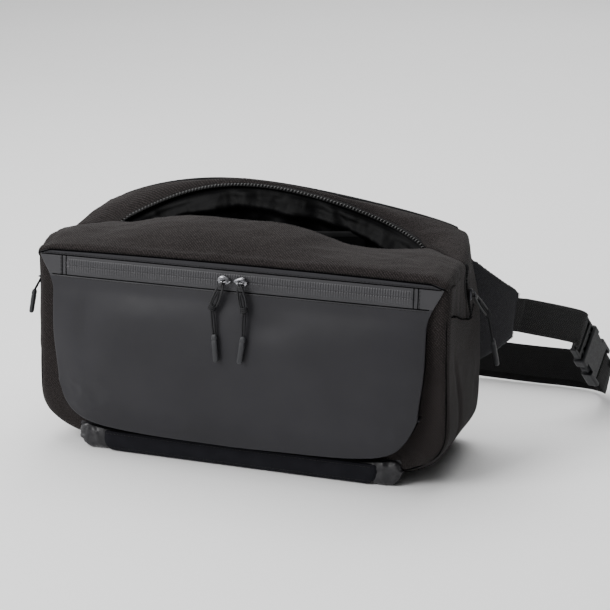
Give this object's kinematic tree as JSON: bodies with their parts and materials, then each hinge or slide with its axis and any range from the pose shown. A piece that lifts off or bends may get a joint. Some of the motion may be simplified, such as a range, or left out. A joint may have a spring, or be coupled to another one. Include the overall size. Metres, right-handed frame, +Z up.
{
  "type": "waist bag",
  "caption": "Hip bag with an open arched top zip, a coated zipped front pocket, padded wings and a waist belt with a side-release buckle, shown buckled and standing on its base",
  "frame": {"origin": "middle of the flat face of the base that the bag stands on", "axes": "+X to the right seen from the front pocket side, +Y from the front pocket towards the wearer and the belt, +Z up"},
  "size_m": [0.4886, 0.3141, 0.2161],
  "materials": {
    "twill": "heathered charcoal twill, matt",
    "coated": "smooth PU-coated cloth, satin",
    "band": "black cloth, matt",
    "foam": "closed-cell foam behind cloth",
    "spacer_mesh": "open spacer mesh",
    "lining": "satin lining, crumpled",
    "zip_tape": "zip tape with a nylon coil",
    "webbing": "herringbone webbing",
    "buckle_plastic": "moulded acetal, fine matt texture",
    "pull_rubber": "moulded rubber",
    "gunmetal": "gunmetal plating, polished"
  },
  "bodies": {
    "bag": {"back_foam": "foam", "back_panel": "spacer_mesh", "base_band": "band", "base_front_guard": "coated", "base_panel": "coated", "buckle_male": "buckle_plastic", "front_pocket_gusset": "twill", "front_pocket_panel": "coated", "front_pocket_top_strip": "coated", "front_wall": "twill", "front_zip_end_left": "coated", "front_zip_end_right": "coated", "front_zip_tape": "zip_tape", "hip_wing_left": "twill", "hip_wing_right": "twill", "inner_pocket_binding": "webbing", "inner_pocket_panel": "lining", "main_lining": "lining", "main_zip_back_tape": "zip_tape", "main_zip_front_tape": "zip_tape", "side_panel_left": "twill", "side_panel_right": "twill", "top_back_panel": "twill", "top_front_panel": "twill", "webbing_left": "webbing", "webbing_right": "webbing"},
    "front_slider_left": {"front_slider_left": "gunmetal"},
    "front_tab_left": {"front_left_pull_tab": "gunmetal"},
    "front_cord_left": {"front_left_pull_cord": "webbing", "front_left_pull_tip": "pull_rubber"},
    "main_slider_left": {"main_slider_left": "gunmetal"},
    "main_tab_left": {"main_left_pull_tab": "gunmetal"},
    "main_cord_left": {"main_left_pull_cord": "webbing", "main_left_pull_tip": "pull_rubber"},
    "front_slider_right": {"front_slider_right": "gunmetal"},
    "front_tab_right": {"front_right_pull_tab": "gunmetal"},
    "front_cord_right": {"front_right_pull_cord": "webbing", "front_right_pull_tip": "pull_rubber"},
    "main_slider_right": {"main_slider_right": "gunmetal"},
    "main_tab_right": {"main_right_pull_tab": "gunmetal"},
    "main_cord_right": {"main_right_pull_cord": "webbing", "main_right_pull_tip": "pull_rubber"},
    "buckle_female": {"buckle_female": "buckle_plastic"},
    "prong_upper": {"latch_prong_upper": "buckle_plastic"},
    "prong_lower": {"latch_prong_lower": "buckle_plastic"},
    "keeper": {"webbing_keeper": "webbing"}
  },
  "joints": [
    {"name": "front_zip_left", "type": "slide", "parent": "bag", "child": "front_slider_left", "axis": [-1, 0, 0], "range_m": [0, 0.138]},
    {"name": "front_tab_swing_left", "type": "hinge", "parent": "front_slider_left", "child": "front_tab_left", "pos_m": [-0.0073, -0.0707, 0.1577], "axis": [1, 0, 0], "range_deg": [-135, 0]},
    {"name": "front_cord_swing_left", "type": "hinge", "parent": "front_tab_left", "child": "front_cord_left", "pos_m": [-0.015, -0.0745, 0.1362], "axis": [1, 0, 0], "range_deg": [-90, 0]},
    {"name": "front_zip_right", "type": "slide", "parent": "bag", "child": "front_slider_right", "axis": [1, 0, 0], "range_m": [0, 0.138]},
    {"name": "front_tab_swing_right", "type": "hinge", "parent": "front_slider_right", "child": "front_tab_right", "pos_m": [0.0063, -0.0707, 0.1577], "axis": [1, 0, 0], "range_deg": [-135, 0]},
    {"name": "front_cord_swing_right", "type": "hinge", "parent": "front_tab_right", "child": "front_cord_right", "pos_m": [0.0122, -0.0745, 0.1366], "axis": [1, 0, 0], "range_deg": [-90, 0]},
    {"name": "main_zip_left", "type": "slide", "parent": "bag", "child": "main_slider_left", "axis": [0, 0.5145, -0.8575], "range_m": [0, 0.022]},
    {"name": "main_tab_swing_left", "type": "hinge", "parent": "main_slider_left", "child": "main_tab_left", "pos_m": [-0.1799, -0.0032, 0.15801], "axis": [0, 0.8575, 0.5145], "range_deg": [0, 100]},
    {"name": "main_cord_swing_left", "type": "hinge", "parent": "main_tab_left", "child": "main_cord_left", "pos_m": [-0.1904, -0.0112, 0.1411], "axis": [0, 0.8575, 0.5145], "range_deg": [0, 60]},
    {"name": "main_zip_right", "type": "slide", "parent": "bag", "child": "main_slider_right", "axis": [0, 0.5145, -0.8575], "range_m": [-0.012, 0.01]},
    {"name": "main_tab_swing_right", "type": "hinge", "parent": "main_slider_right", "child": "main_tab_right", "pos_m": [0.1799, 0.004, 0.146], "axis": [0, -0.8575, -0.5145], "range_deg": [0, 100]},
    {"name": "main_cord_swing_right", "type": "hinge", "parent": "main_tab_right", "child": "main_cord_right", "pos_m": [0.1893, 0.0215, 0.125], "axis": [0, -0.8575, -0.5145], "range_deg": [0, 60]},
    {"name": "buckle_release", "type": "slide", "parent": "bag", "child": "buckle_female", "axis": [0.2517, 0.6553, -0.7122], "range_m": [0, 0.03], "deforming": ["webbing_left", "latch_prong_upper", "latch_prong_lower"]},
    {"name": "latch_upper", "type": "hinge", "parent": "bag", "child": "prong_upper", "pos_m": [0.25328, 0.15609, 0.07744], "axis": [-0.955, 0.2874, -0.0732], "range_deg": [0, 8], "stiffness_Nm_per_rad": 0.3},
    {"name": "latch_lower", "type": "hinge", "parent": "bag", "child": "prong_lower", "pos_m": [0.25017, 0.14226, 0.06362], "axis": [-0.955, 0.2874, -0.0732], "range_deg": [-8, 0], "stiffness_Nm_per_rad": 0.3},
    {"name": "keeper_slide", "type": "slide", "parent": "bag", "child": "keeper", "axis": [1, 0, 0], "range_m": [-0.025, 0.1]}
  ],
  "couplings": [
    {"joint": "latch_lower", "follows": "latch_upper", "ratio": -1}
  ]
}
